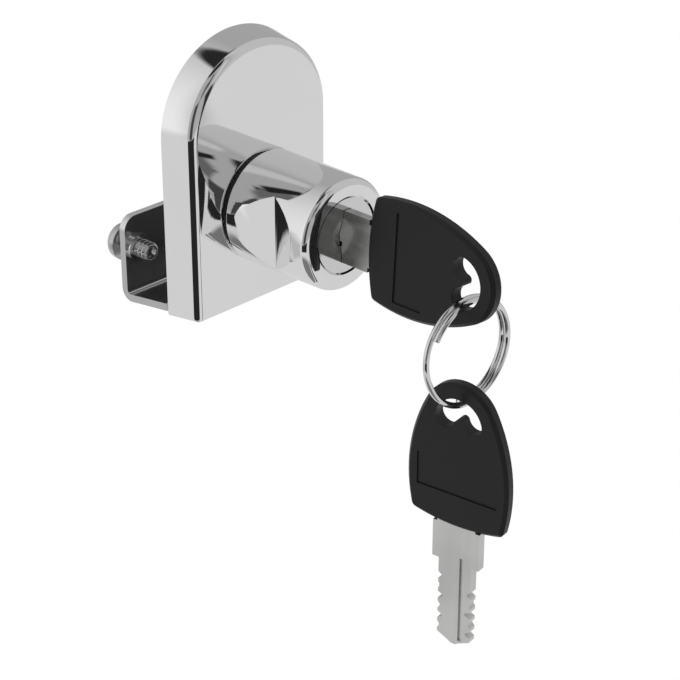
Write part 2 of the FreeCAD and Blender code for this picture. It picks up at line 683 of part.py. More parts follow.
def make_plug():
    part = body("lock_plug")
    sketch = sketch_on(part, "plug_profile", "XY_Plane")
    face = size("plug_face")
    barrel = size("plug_radius")
    groove = size("clip_groove")
    clip_front = CLIP_BACK + size("clip_thick") + size("seat_gap") / 2
    clip_rear = CLIP_BACK - size("seat_gap") / 2
    outline(sketch, [
        (0, -PLUG_END), (barrel, -PLUG_END), (barrel, -clip_rear), (groove, -clip_rear),
        (groove, -clip_front), (barrel, -clip_front), (barrel, -FLANGE_BACK),
        (face, -FLANGE_BACK), (face, -PLUG_FACE), (0, -PLUG_FACE)])
    revolve(part, "plug_turned", sketch)
    sketch = sketch_on(part, "crank_outline", "XZ_Plane", PLUG_END)
    circle(sketch, 0, size("crank_offset"), size("crank_radius"))
    pad(part, "crank_pin", sketch, PLUG_END - BOLT_BACK, backward=True)
    gap = size("key_gap")
    half = size("blade_thick") / 2 + gap
    seat = PLUG_FACE - size("shoulder_sunk") - gap
    rise = size("shoulder_width") / 2 + gap
    sketch = sketch_on(part, "shoulder_seat_outline", "XZ_Plane", seat)
    rectangle(sketch, -half, -rise, half, rise)
    cut(part, "shoulder_seat", sketch, PLUG_FACE - seat, forward=True)
    end = seat - size("blade_length") - gap
    rise = size("blade_width") / 2 + gap
    sketch = sketch_on(part, "keyway_outline", "XZ_Plane", end)
    rectangle(sketch, -half, -rise, half, rise)
    cut(part, "keyway", sketch, PLUG_FACE - end, forward=True)
    # Dished recess round the keyway, shallow at its edge
    sketch = sketch_on(part, "recess_profile", "XY_Plane")
    wide = size("recess_radius")
    outline(sketch, [(0, -PLUG_FACE), (0, -(PLUG_FACE - size("recess_deep"))), (wide, -PLUG_FACE)])
    scoop = part.newObject("PartDesign::Groove", "keyway_recess")
    scoop.Profile = sketch
    scoop.ReferenceAxis = (sketch, ["V_Axis"])
    scoop.Angle = 360.0
    finish(part, scoop)
    # One slot for each wafer
    half = size("wafer_width") / 2 + size("seat_gap")
    thick = size("wafer_thick") / 2 + size("seat_gap")
    first = PLUG_FACE - size("wafer_first")
    sketch = sketch_on(part, "wafer_slot_outline", "XY_Plane")
    rectangle(sketch, -half, -(first + thick), half, -(first - thick))
    slot = cut(part, "wafer_slot", sketch, barrel * 3, both=True)
    row = part.newObject("PartDesign::LinearPattern", "wafer_slots")
    row.Originals = [slot]
    row.Direction = (sketch, ["V_Axis"])
    span = size("wafer_pitch") * (size("wafer_count") - 1)
    bind(row, "Length", span)
    row.Occurrences = int(size("wafer_count").number)
    row.setExpression("Occurrences", size("wafer_count").text)
    part.Tip = row
    doc.recompute()
    # Beside each wafer, a pocket for its ear and its spring
    foot = -(size("ear_tall") + size("seat_gap") * 2)
    sketch = sketch_on(part, "spring_pocket_outline", "XY_Plane", foot)
    rectangle(sketch, half - 0.5, -(first + thick), size("ear_reach") + size("seat_gap") * 2,
              -(first - thick))
    pocket = cut(part, "spring_pocket", sketch, size("spring_room") - foot, forward=True)
    line = part.newObject("PartDesign::LinearPattern", "spring_pockets")
    line.Originals = [pocket]
    line.Direction = (sketch, ["V_Axis"])
    bind(line, "Length", span)
    line.Occurrences = int(size("wafer_count").number)
    line.setExpression("Occurrences", size("wafer_count").text)
    part.Tip = line
    doc.recompute()
    turn_with_key(part)


def turn_with_key(part):
    """Turn a piece of the plug or the first key to the drawn angle."""
    part.Placement = Placement(Vector(0, 0, 0), Rotation(Vector(0, 1, 0), size("plug_lean").number))
    part.setExpression("Placement.Rotation.Angle", size("plug_lean").text)


def make_wafers():
    """Flat wafers with a window for the blade and an ear for the spring, trimmed to the plug."""
    radius = size("plug_radius").number - 0.1
    thick = size("wafer_thick").number
    width = size("wafer_width").number
    window = size("wafer_window").number
    tall = size("blade_width").number + 2 * size("key_gap").number + 0.2
    first = (PLUG_FACE - size("wafer_first")).number
    reach = size("ear_reach").number
    ear_tall = size("ear_tall").number
    copies = []
    for i in range(int(size("wafer_count").number)):
        middle = -first + i * size("wafer_pitch").number
        start = Vector(0, middle - thick / 2, 0)
        disc = Part.makeCylinder(radius, thick, start, Vector(0, 1, 0))
        bar = Part.makeBox(width, thick, 2 * radius, start - Vector(width / 2, 0, radius))
        gap = Part.makeBox(window, thick, tall, start - Vector(window / 2, 0, tall / 2))
        ear = Part.makeBox(reach - width / 2 + 0.2, thick, ear_tall,
                           start + Vector(width / 2 - 0.2, 0, -ear_tall))
        copies.append(disc.common(bar).cut(gap).fuse(ear).removeSplitter())
    group = doc.addObject("Part::Feature", "wafers")
    group.Label = "wafers"
    group.Shape = Part.Compound(copies)
    turn_with_key(group)
    nodes.append(group)


def make_wafer_springs():
    """A spring over the ear of each wafer, drawn as a stack of six-sided turns."""
    radius = size("spring_radius").number
    low = size("seat_gap").number
    tall = size("spring_room").number - 2 * low
    first = (PLUG_FACE - size("wafer_first")).number
    layers = 7
    sides = 6
    waist = radius * 0.7
    step = tall / layers
    spring = None
    for i in range(layers):
        reach = radius if i % 2 == 0 else waist
        corners = []
        for k in range(sides + 1):
            turn = 2 * math.pi * k / sides
            corners.append(Vector(reach * math.cos(turn), reach * math.sin(turn), low + step * i))
        layer = Part.Face(Part.makePolygon(corners)).extrude(Vector(0, 0, step))
        spring = layer if spring is None else spring.fuse(layer)
    spring = spring.removeSplitter()
    copies = []
    for i in range(int(size("wafer_count").number)):
        middle = -first + i * size("wafer_pitch").number
        copies.append(spring.translated(Vector(size("spring_side").number, middle, 0)))
    group = doc.addObject("Part::Feature", "wafer_springs")
    group.Label = "wafer_springs"
    group.Shape = Part.Compound(copies)
    turn_with_key(group)
    nodes.append(group)


def make_clip():
    part = body("snap_ring")
    inner = size("clip_groove") + size("seat_gap")
    sketch = sketch_on(part, "clip_outline", "XZ_Plane", CLIP_BACK)
    circle(sketch, 0, 0, size("clip_radius"))
    circle(sketch, 0, 0, inner)
    pad(part, "clip_disc", sketch, size("clip_thick"))
    sketch = sketch_on(part, "clip_gap_outline", "XZ_Plane", CLIP_BACK)
    rectangle(sketch, -3.6, -(size("clip_radius") + 1), 3.6, 0)
    cut(part, "clip_gap", sketch, size("clip_thick"), forward=True)
    turn_with_key(part)


def make_bolt():
    part = body("latch_bolt")
    low = BOTTOM + size("bolt_shy")
    slot_half = size("crank_radius") + size("slot_room") + 0.1
    middle = size("crank_offset")
    top = middle + slot_half + size("bolt_rim")
    sketch = sketch_on(part, "bolt_plate_outline", "XZ_Plane", BOLT_BACK)
    rectangle(sketch, -HALF_BOLT, low, HALF_BOLT, top)
    pad(part, "bolt_plate", sketch, size("bolt_plate"))
    reach = size("crank_offset") + size("crank_radius") + 0.15
    sketch = sketch_on(part, "crank_slot_outline", "XZ_Plane", BOLT_BACK)
    rectangle(sketch, -reach, middle - slot_half, reach, middle + slot_half)
    cut(part, "crank_slot", sketch, size("bolt_plate"), forward=True)
    high = -(size("nut_radius") + size("slide_gap") + 0.2)
    sketch = sketch_on(part, "bolt_nose_outline", "XZ_Plane", BOLT_STEP)
    rectangle(sketch, -HALF_BOLT, low, HALF_BOLT, high)
    pad(part, "bolt_nose", sketch, size("bolt_nose"))


def make_clamp_screw(name, side):
    part = body(name)
    shank = size("clamp_radius")
    head = size("clamp_head")
    dome = size("clamp_dome")
    tip = size("glass_slot") - size("clamp_reach")
    seat = size("glass_slot") + size("sheet") + size("clamp_stand")
    end = seat + size("clamp_head_tall")
    sketch = sketch_on(part, "screw_profile", "XY_Plane")
    outline(sketch, [
        (0, tip), (shank - 0.5, tip), (shank, tip + 0.5), (shank, seat), (head, seat),
        *quarter(head - dome, end - dome, dome, 1), (0, end)])
    revolve(part, "screw_turned", sketch)
    sketch = sketch_on(part, "cross_outline", "XZ_Plane", -end)
    rectangle(sketch, -2.1, -0.45, 2.1, 0.45)
    cut(part, "cross_one", sketch, 1.5, forward=True)
    sketch = sketch_on(part, "cross_outline_two", "XZ_Plane", -end)
    rectangle(sketch, -0.45, -2.1, 0.45, 2.1)
    cut(part, "cross_two", sketch, 1.5, forward=True)
    place = SHIFT + (HALF_COVER - size("clamp_inset")) * side
    drop = BOTTOM + size("clamp_rise")
    part.Placement = Placement(Vector(place.number, 0, drop.number), Rotation())
    part.setExpression("Placement.Base.x", place.text)
    part.setExpression("Placement.Base.z", drop.text)


# Keys are drawn lying along Y: the head starts at y = 0 and points to -Y

def key_frames():
    """Placements of the key in the lock and of the key that hangs on the ring."""
    base = PLUG_FACE - size("shoulder_sunk") + size("shoulder_length")
    lean = Rotation(Vector(0, 1, 0), size("plug_lean").number)
    first = Placement(Vector(0, -base.number, 0), lean)
    drop = size("head_length") - size("hang_grip")
    grip = ring_low_point() - Vector(0, 0, drop.number)
    yaw = Rotation(Vector(0, 0, 1), size("second_yaw").number)
    second = Placement(grip, yaw.multiply(Rotation(Vector(1, 0, 0), -90)))
    return first, second


def hang_point():
    """Where the ring's wire rests in the first key's hole."""
    base = PLUG_FACE - size("shoulder_sunk") + size("shoulder_length")
    forward = base + size("head_length") - size("hang_back")
    drop = size("hang_drop").number
    lean = math.radians(size("plug_lean").number)
    return Vector(-drop * math.sin(lean), -forward.number, -drop * math.cos(lean))


def ring_centre():
    radius = size("ring_radius").number
    lean = math.radians(size("ring_lean").number)
    yaw = math.radians(size("ring_yaw").number)
    across = Vector(math.cos(yaw), math.sin(yaw), 0)
    return hang_point() + across * (radius * math.sin(lean)) - Vector(0, 0, radius * math.cos(lean))


def ring_low_point():
    """Where the second key hangs, straight below the first contact."""
    radius = size("ring_radius").number
    lean = math.radians(size("ring_lean").number)
    return hang_point() - Vector(0, 0, 2 * radius * math.cos(lean))


def place_key(part, frame):
    part.Placement = frame


def make_blade(name, frame):
    part = body(name)
    wide = size("blade_width") / 2
    step = size("shoulder_width") / 2
    tang = size("tang_width") / 2
    shoulder = size("shoulder_length")
    tip = shoulder + size("blade_length")
    start = shoulder + size("cut_start")
    pitch = (tip - size("cut_end") - start) / (len(CUTS_ONE) - 1)
    # Up one edge with its cuts, over the tip and back along the other edge
    points = [(-size("tang_length"), -tang), (0, -tang), (0, -step), (shoulder, -step),
              (shoulder, -wide)]
    for i, deep in enumerate(CUTS_ONE):
        middle = start + pitch * i
        points += [(middle - 0.8, -wide), (middle - 0.25, -wide + deep),
                   (middle + 0.25, -wide + deep), (middle + 0.8, -wide)] if deep else []
    points += [(tip - 1.7, -wide), (tip - 0.5, -1.3), (tip, -0.5), (tip, 0.5),
               (tip - 0.5, 1.3), (tip - 1.7, wide)]
    for i, deep in reversed(list(enumerate(CUTS_TWO))):
        middle = start + pitch * i
        points += [(middle + 0.8, wide), (middle + 0.25, wide - deep),
                   (middle - 0.25, wide - deep), (middle - 0.8, wide)]
    points += [(shoulder, wide), (shoulder, step), (0, step), (0, tang),
               (-size("tang_length"), tang)]
    sketch = sketch_on(part, "blade_outline", "YZ_Plane")
    outline(sketch, points)
    pad(part, "blade_plate", sketch, size("blade_thick"), both=True)
    half = size("groove_width") / 2
    deep = size("groove_deep")
    for side in (-1, 1):
        edge = size("blade_thick") / 2 * side
        place = size("groove_offset") * side
        sketch = sketch_on(part, "groove_outline", "YZ_Plane", edge)
        rectangle(sketch, shoulder - 1.5, place - half, tip - 1.2, place + half)
        cut(part, "blade_groove", sketch, deep, forward=side < 0)
    place_key(part, frame)


def make_head(name, frame):
    part = body(name)
    long = size("head_length")
    half = size("head_width") / 2
    waist = size("head_waist")
    end = size("head_end")
    bow = size("head_bow")
    # The sides are one large arc that runs into the round end
    run = long - end - waist
    side_radius = (run * run + half * half - end * end) / ((half - end) * 2)
    side_centre = half - side_radius
    lean = math.atan2(-side_centre.number, run.number)
    touch_x = long - end + end * math.cos(lean)
    touch_y = end * math.sin(lean)
    reach = math.sqrt(side_radius.number ** 2 - (waist.number - bow.number) ** 2)
    wide = side_centre.number + reach
    base_radius = (wide ** 2 + bow.number ** 2) / (2 * bow.number)
    sketch = sketch_on(part, "head_outline", "YZ_Plane")
    outline(sketch, [
        (-bow, -wide), (-bow, wide), (-touch_x, touch_y), (-touch_x, -touch_y)],
        {0: (base_radius, 1), 1: (side_radius, 1), 2: (end, 1), 3: (side_radius, 1)})
    pad(part, "head_plate", sketch, size("head_thick"), both=True)
    dress(part, "Fillet", "head_corners", head_corner_edges, size("head_corner"))
    face = size("head_thick").number / 2

    def face_edge(edge):
        box = edge.BoundBox
        return near(box.XMin, box.XMax) and near(abs(box.XMin), face)

    dress(part, "Chamfer", "head_bevel", face_edge, size("head_edge"))
    # Bent hole for the ring
    place = -(long - size("hole_back"))
    sweep = math.radians(size("hole_sweep").number)
    bend = size("hole_bend")
    half_slot = size("hole_half")
    outer = bend + half_slot
    inner = bend - half_slot
    corner = [(place - outer * math.cos(sweep), outer * math.sin(sweep)),
              (place - inner * math.cos(sweep), inner * math.sin(sweep)),
              (place - inner * math.cos(sweep), -inner * math.sin(sweep)),
              (place - outer * math.cos(sweep), -outer * math.sin(sweep))]
    sketch = sketch_on(part, "ring_hole_outline", "YZ_Plane")
    outline(sketch, corner, {0: (half_slot, -1), 1: (inner, 1), 2: (half_slot, -1), 3: (outer, -1)})
    cut(part, "ring_hole", sketch, size("head_thick") * 2, both=True)
    # Sunk fields on both faces, left bare
    start = size("field_start")
    field = size("field_wide") / 2
    for side in (-1, 1):
        edge = size("head_thick") / 2 * side
        sketch = sketch_on(part, "field_outline", "YZ_Plane", edge)
        rectangle(sketch, -(start + size("field_long")), -field, -start, field)
        cut(part, "field", sketch, size("field_deep"), forward=side < 0)
    # Room for the blade's tang
    tang = size("tang_width") / 2
    sketch = sketch_on(part, "tang_room_outline", "YZ_Plane")
    rectangle(sketch, -size("tang_length"), -tang, 1, tang)
    cut(part, "tang_room", sketch, size("blade_thick"), both=True)
    place_key(part, frame)


def head_corner_edges(edge):
    """The two edges of the head's corners beside the blade, which run along X."""
    box = edge.BoundBox
    if box.YLength > 1e-3 or box.ZLength > 1e-3:
        return False
    return near(box.YMin, -size("head_bow").number)


def ring_arc(start, sweep, offset, tilt=0.0):
    """A stretch of the ring's wire, eight-sided, in its own plane."""
    radius = size("ring_radius").number
    across = size("wire_radius").number * 1.03
    corners = []
    for i in range(9):
        turn = math.radians(22.5 + 45 * i)
        corners.append(Vector(radius + across * math.cos(turn), 0, across * math.sin(turn)))
    section = Part.Face(Part.makePolygon(corners))
    arc = section.revolve(Vector(0, 0, 0), Vector(0, 0, 1), sweep)
    arc.rotate(Vector(0, 0, 0), Vector(0, 0, 1), -sweep / 2)
    arc.rotate(Vector(0, 0, 0), Vector(1, 0, 0), tilt)
    arc.rotate(Vector(0, 0, 0), Vector(0, 0, 1), start + sweep / 2)
    arc.translate(Vector(0, 0, offset))
    return arc


def make_ring():
    """Split ring: two turns side by side, joined by a slanted stretch where there is one."""
    start = size("ring_start").number
    double = size("ring_overlap").number
    single = 360 - double
    half = size("ring_pitch").number / 2
    rise = size("ring_radius").number * math.sin(math.radians(single / 2))
    tilt = math.degrees(math.atan(half / rise))
    first = ring_arc(start, double + 0.5, -half)
    slanted = ring_arc(start + double, single, 0, tilt)
    second = ring_arc(start - 0.5, double + 0.5, half)
    ring = doc.addObject("Part::Feature", "key_ring")
    ring.Label = "key_ring"
    ring.Shape = first.fuse([slanted, second]).removeSplitter()
    # The ring is drawn flat and stood up: its axis ends up level, nearly along the key
    upright = Rotation(Vector(1, 0, 0), 90)
    yaw = Rotation(Vector(0, 0, 1), size("ring_yaw").number)
    ring.Placement = Placement(ring_centre(), yaw.multiply(upright))
    nodes.append(ring)


def write_parts():
    doc.recompute()
    faults = [o.Name for o in doc.Objects if "Invalid" in o.State or "Error" in o.State]
    for node in nodes:
        if node.Shape.isNull() or not node.Shape.isValid():
            faults.append(node.Label)
    if faults:
        raise RuntimeError("failed objects: " + ", ".join(faults))
    os.makedirs("parts", exist_ok=True)
    for node in nodes:
        node.Shape.exportStep("parts/%s.step" % node.Label)
        print("%-20s volume %9.2f  solids %d" % (node.Label, node.Shape.Volume,
                                                 len(node.Shape.Solids)))
    print("ring hangs at", hang_point(), "second key hangs at", ring_low_point())


make_cover()
make_knob()
make_washer()
make_nut()
make_lock_washer()
make_bracket()
make_fixing_screws()
make_glass_pad()
make_plug()
make_wafers()
make_wafer_springs()
make_clip()
make_bolt()
make_clamp_screw("clamp_screw_left", -1)
make_clamp_screw("clamp_screw_right", 1)
first_key, second_key = key_frames()
make_blade("key_1_blade", first_key)
make_head("key_1_head", first_key)
make_ring()
make_blade("key_2_blade", second_key)
make_head("key_2_head", second_key)
write_parts()
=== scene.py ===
import math

import bmesh
import bpy
from mathutils import Matrix, Vector


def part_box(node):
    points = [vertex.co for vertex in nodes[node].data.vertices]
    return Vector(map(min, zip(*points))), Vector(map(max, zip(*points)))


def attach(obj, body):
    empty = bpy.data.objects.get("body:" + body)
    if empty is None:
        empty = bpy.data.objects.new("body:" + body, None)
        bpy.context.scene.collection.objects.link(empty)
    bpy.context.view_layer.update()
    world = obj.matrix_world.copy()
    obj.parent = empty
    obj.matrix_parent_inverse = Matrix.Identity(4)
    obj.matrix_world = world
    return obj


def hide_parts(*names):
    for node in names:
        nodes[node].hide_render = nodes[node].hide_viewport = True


# Clamp-on lock for a glass cabinet door. Metres, in the frame of the CAD part.

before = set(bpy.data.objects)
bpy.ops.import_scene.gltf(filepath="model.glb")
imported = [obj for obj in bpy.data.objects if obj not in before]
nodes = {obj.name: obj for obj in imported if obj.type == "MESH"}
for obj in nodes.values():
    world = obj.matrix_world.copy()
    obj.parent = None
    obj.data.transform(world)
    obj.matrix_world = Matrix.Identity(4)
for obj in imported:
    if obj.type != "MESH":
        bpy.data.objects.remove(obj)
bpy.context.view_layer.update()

MM = 0.001


# Shader helpers

def new_material(name):
    """A material with its node tree and its shader."""
    material = bpy.data.materials.new(name)
    material.use_nodes = True
    tree = material.node_tree
    return material, tree, tree.nodes["Principled BSDF"]


def noise(tree, scale, detail=3.0, stretch=(1, 1, 1)):
    """Noise in object space, stretched along an axis where asked."""
    place = tree.nodes.new("ShaderNodeTexCoord")
    mapping = tree.nodes.new("ShaderNodeMapping")
    mapping.inputs["Scale"].default_value = stretch
    texture = tree.nodes.new("ShaderNodeTexNoise")
    texture.inputs["Scale"].default_value = scale
    texture.inputs["Detail"].default_value = detail
    tree.links.new(place.outputs["Object"], mapping.inputs["Vector"])
    tree.links.new(mapping.outputs["Vector"], texture.inputs["Vector"])
    return texture.outputs["Fac"]


def ramp(tree, value, stops):
    """Greys or colours along a value from 0 to 1."""
    node = tree.nodes.new("ShaderNodeValToRGB")
    elements = node.color_ramp.elements
    while len(elements) < len(stops):
        elements.new(0.5)
    for element, (place, colour) in zip(elements, stops):
        element.position = place
        if isinstance(colour, float):
            colour = (colour, colour, colour)
        element.color = (*colour, 1.0)
    tree.links.new(value, node.inputs["Fac"])
    return node.outputs["Color"]


def bump(tree, shader, height, strength, distance):
    """Fine relief from a height, on the shader's normal."""
    node = tree.nodes.new("ShaderNodeBump")
    node.inputs["Strength"].default_value = strength
    node.inputs["Distance"].default_value = distance
    tree.links.new(height, node.inputs["Height"])
    tree.links.new(node.outputs["Normal"], shader.inputs["Normal"])


def calculate(tree, operation, *values):
    """A math node on sockets or numbers."""
    node = tree.nodes.new("ShaderNodeMath")
    node.operation = operation
    for place, value in enumerate(values):
        if isinstance(value, (int, float)):
            node.inputs[place].default_value = value
        else:
            tree.links.new(value, node.inputs[place])
    return node.outputs[0]


def smooth_step(tree, value, low, high, falling=False):
    """0 below the range and 1 above it, or the other way round."""
    node = tree.nodes.new("ShaderNodeMapRange")
    node.interpolation_type = "SMOOTHSTEP"
    node.inputs["From Min"].default_value = low
    node.inputs["From Max"].default_value = high
    node.inputs["To Min"].default_value = 1.0 if falling else 0.0
    node.inputs["To Max"].default_value = 0.0 if falling else 1.0
    tree.links.new(value, node.inputs["Value"])
    return node.outputs["Result"]


def band(tree, value, low, high, edge):
    """1 between two values, with soft edges."""
    rise = smooth_step(tree, value, low - edge, low + edge)
    fall = smooth_step(tree, value, high - edge, high + edge, falling=True)
    return calculate(tree, "MULTIPLY", rise, fall)


def paint(tree, mask, below, tone):
    """The tone where the mask is 1, what lies below where it is 0."""
    change = calculate(tree, "SUBTRACT", tone, below)
    return calculate(tree, "MULTIPLY_ADD", mask, change, below)


# Materials

def polished(name, tone, low, high):
    """Chrome plate: nearly a mirror, with a faint haze and a trace of orange peel."""
    material, tree, shader = new_material(name)
    shader.inputs["Metallic"].default_value = 1.0
    haze = noise(tree, 90.0, 4.0)
    tree.links.new(ramp(tree, haze, [(0.3, low), (0.75, high)]), shader.inputs["Roughness"])
    cloud = noise(tree, 35.0, 2.0)
    tree.links.new(ramp(tree, cloud, [(0.3, tone * 0.97), (0.7, tone)]), shader.inputs["Base Color"])
    bump(tree, shader, noise(tree, 320.0, 2.0), 0.02, 0.00005)
    return material


def satin(name, colour, low, high, stretch, strength=0.15):
    """Plated or ground steel with fine lines along one direction."""
    material, tree, shader = new_material(name)
    shader.inputs["Metallic"].default_value = 1.0
    grain = noise(tree, 600.0, 3.0, stretch)
    tree.links.new(ramp(tree, grain, [(0.3, low), (0.7, high)]), shader.inputs["Roughness"])
    dark = tuple(c * 0.86 for c in colour)
    wear = noise(tree, 60.0, 4.0)
    tree.links.new(ramp(tree, wear, [(0.35, dark), (0.65, colour)]), shader.inputs["Base Color"])
    bump(tree, shader, grain, strength, 0.00002)
    return material


def moulded(name, tone, low, high, bump_scale, strength, shine=0.5):
    """Moulded plastic or rubber: fine texture, slightly uneven gloss."""
    material, tree, shader = new_material(name)
    shader.inputs["Specular IOR Level"].default_value = shine
    cloud = noise(tree, 40.0, 3.0)
    tree.links.new(ramp(tree, cloud, [(0.3, tone * 0.85), (0.7, tone)]), shader.inputs["Base Color"])
    fine = noise(tree, bump_scale, 2.0)
    tree.links.new(ramp(tree, fine, [(0.3, low), (0.7, high)]), shader.inputs["Roughness"])
    bump(tree, shader, fine, strength, 0.00003)
    return material


SCREW_CHROME = polished("screw_chrome", 0.6, 0.06, 0.1)
RING_CHROME = polished("ring_chrome", 0.82, 0.05, 0.1)
MATERIALS = {
    "cover": polished("cover_chrome", 0.9, 0.03, 0.05),
    "lock_knob": polished("knob_chrome", 0.9, 0.03, 0.05),
    "lock_plug": polished("plug_chrome", 0.78, 0.08, 0.12),
    "key_ring": RING_CHROME,
    "clamp_screw_left": SCREW_CHROME,
    "clamp_screw_right": SCREW_CHROME,
    "clamp_bracket": satin("bracket_plate", (0.86, 0.86, 0.86), 0.16, 0.2, (1, 1, 1), 0.01),
    "knob_nut": satin("nut_zinc", (0.62, 0.62, 0.6), 0.25, 0.35, (1, 1, 1)),
    "lock_washer": satin("washer_steel", (0.5, 0.5, 0.49), 0.25, 0.35, (1, 1, 1)),
    "bracket_screws": satin("screw_zinc", (0.6, 0.6, 0.58), 0.25, 0.35, (1, 1, 1)),
    "snap_ring": satin("ring_steel", (0.4, 0.4, 0.4), 0.25, 0.35, (1, 1, 1)),
    "latch_bolt": satin("bolt_steel", (0.62, 0.62, 0.62), 0.22, 0.34, (1, 1, 0.05)),
    "wafers": satin("wafer_brass", (0.72, 0.52, 0.24), 0.25, 0.4, (1, 1, 1)),
    "wafer_springs": satin("spring_steel", (0.56, 0.56, 0.55), 0.2, 0.3, (1, 1, 1)),
    # Key 1's blade is the same nickel as key 2's, painted darker (0.56 against 0.74): painted shade
    # standing in for the dark it reflects.
    "key_1_blade": satin("key_nickel", (0.56, 0.56, 0.55), 0.28, 0.4, (1, 0.05, 1)),
    "key_2_blade": satin("key_nickel_2", (0.74, 0.74, 0.73), 0.28, 0.38, (1, 1, 0.05)),
    "key_1_head": moulded("head_plastic", 0.008, 0.36, 0.44, 900.0, 0.1, 0.3),
    "key_2_head": moulded("head_plastic_2", 0.008, 0.36, 0.44, 900.0, 0.1, 0.3),
    "base_washer": moulded("washer_black", 0.01, 0.45, 0.6, 700.0, 0.2),
    "glass_pad": moulded("pad_rubber", 0.09, 0.7, 0.85, 500.0, 0.3),
}
for name, material in MATERIALS.items():
    node = nodes[name]
    node.data.materials.clear()
    node.data.materials.append(material)


# Mesh helpers

def finish_piece(name, mesh_data, material, body, slot, *replaced):
    """Makes a smooth shaded object of a bmesh and hangs it on its body."""
    mesh = bpy.data.meshes.new(name)
    bmesh.ops.recalc_face_normals(mesh_data, faces=mesh_data.faces)
    for face in mesh_data.faces:
        face.smooth = True
    mesh_data.to_mesh(mesh)
    mesh_data.free()
    mesh.materials.append(material)
    piece = bpy.data.objects.new(name, mesh)
    bpy.context.scene.collection.objects.link(piece)
    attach(piece, body)
    if replaced:
        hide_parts(*replaced)
    return piece


def skin(mesh_data, loops, close_ends=False):
    """Quads between closed loops of points, in order."""
    rings = [[mesh_data.verts.new(point) for point in loop] for loop in loops]
    count = len(rings[0])
    for first, second in zip(rings, rings[1:]):
        for i in range(count):
            j = (i + 1) % count
            mesh_data.faces.new((first[i], first[j], second[j], second[i]))
    if close_ends:
        mesh_data.faces.new(rings[0])
        mesh_data.faces.new(rings[-1])
    return rings


# Cover: walls that lean in towards the front, a tight front edge and a square lower edge

COVER_MIDDLE = -1.4
HALF_WIDTH = 20.0
BOTTOM = -20.3
ARCH_MIDDLE = 17.39
SHOULDER_INSET = 1.26
SHOULDER_TURN = math.radians(50)
RIM = -1.0
FRONT = -8.0
WALL = 1.5
LEAN_IN = 1.6
FACE_SHIFT = 0.5
EDGE_ROUND = 1.7
LOWER_ROUND = 0.3
LOWER_CORNER = 0.7
NECK_HOLE = 7.85
MOUTH_ROOM = 0.12
BEND_FRONT = -2.65
BEND_LOW = -19.4
BEND_HIGH = -17.9
SHOULDER = HALF_WIDTH - SHOULDER_INSET
FLATTER = SHOULDER + SHOULDER_INSET / math.cos(SHOULDER_TURN)
TURN_X = SHOULDER_INSET + SHOULDER * math.cos(SHOULDER_TURN)
FLAT_CENTRE = ARCH_MIDDLE + SHOULDER * math.sin(SHOULDER_TURN) - math.sqrt(FLATTER ** 2 - TURN_X ** 2)


def cover_loop(inset, depth, lift, lower_depth, shift):
    """The D outline, moved in by one amount at its sides and top and by another at its bottom."""
    middle = COVER_MIDDLE + shift
    points = []
    left = -HALF_WIDTH + inset
    low = BOTTOM + lift
    quarter = 4
    for i in range(quarter + 1):
        share = i / quarter
        angle = math.pi / 2 * share
        points.append((middle + left + LOWER_CORNER * (1 - math.sin(angle)),
                       depth * share + lower_depth * (1 - share),
                       low + LOWER_CORNER * (1 - math.cos(angle))))
    arcs = [(-SHOULDER_INSET, ARCH_MIDDLE, SHOULDER, 0, SHOULDER_TURN, 12),
            (0, FLAT_CENTRE, FLATTER, SHOULDER_TURN, math.pi - SHOULDER_TURN, 24),
            (SHOULDER_INSET, ARCH_MIDDLE, SHOULDER, math.pi - SHOULDER_TURN, math.pi, 12)]
    for x, z, radius, start, end, steps in arcs:
        for i in range(steps + (end == math.pi)):
            angle = start + (end - start) * i / steps
            points.append((middle + x - (radius - inset) * math.cos(angle), depth,
                           z + (radius - inset) * math.sin(angle)))
    for x, y, z in reversed(points[:quarter + 1]):
        points.append((2 * middle - x, y, z))
    return [Vector(point) * MM for point in points]


def edge_station(lean, radius, share):
    """Inset and depth of a point on the rounding between a leaning wall and the flat front."""
    slope = math.atan2(lean, RIM - FRONT)
    reach = radius * math.tan((math.pi / 2 - slope) / 2)
    angle = slope + (math.pi / 2 - slope) * share
    return lean + reach - radius * math.cos(angle), FRONT + radius - radius * math.sin(angle)


def cutter(name, mesh_data):
    """An object of a bmesh, to cut with."""
    mesh = bpy.data.meshes.new(name)
    bmesh.ops.recalc_face_normals(mesh_data, faces=mesh_data.faces)
    mesh_data.to_mesh(mesh)
    mesh_data.free()
    tool = bpy.data.objects.new(name, mesh)
    bpy.context.scene.collection.objects.link(tool)
    return tool


def box_cutter(name, low, high):
    """A box between two corners, to cut with."""
    tool = bmesh.new()
    bmesh.ops.create_cube(tool, size=1.0)
    low, high = Vector(low) * MM, Vector(high) * MM
    for vertex in tool.verts:
        vertex.co = (low + high) / 2 + vertex.co * (high - low)
    return cutter(name, tool)


def cut_away(piece, tools):
    """Cuts the tools out of the piece, then shades it smooth up to its edges."""
    for tool in tools:
        change = piece.modifiers.new(tool.name, "BOOLEAN")
        change.operation = "DIFFERENCE"
        change.solver = "EXACT"
        change.object = tool
    bpy.context.view_layer.update()
    shape = piece.evaluated_get(bpy.context.evaluated_depsgraph_get())
    mesh = bpy.data.meshes.new_from_object(shape)
    piece.modifiers.clear()
    piece.data = mesh
    mesh.shade_smooth()
    mesh.set_sharp_from_angle(angle=math.radians(28))
    for tool in tools:
        bpy.data.objects.remove(tool)


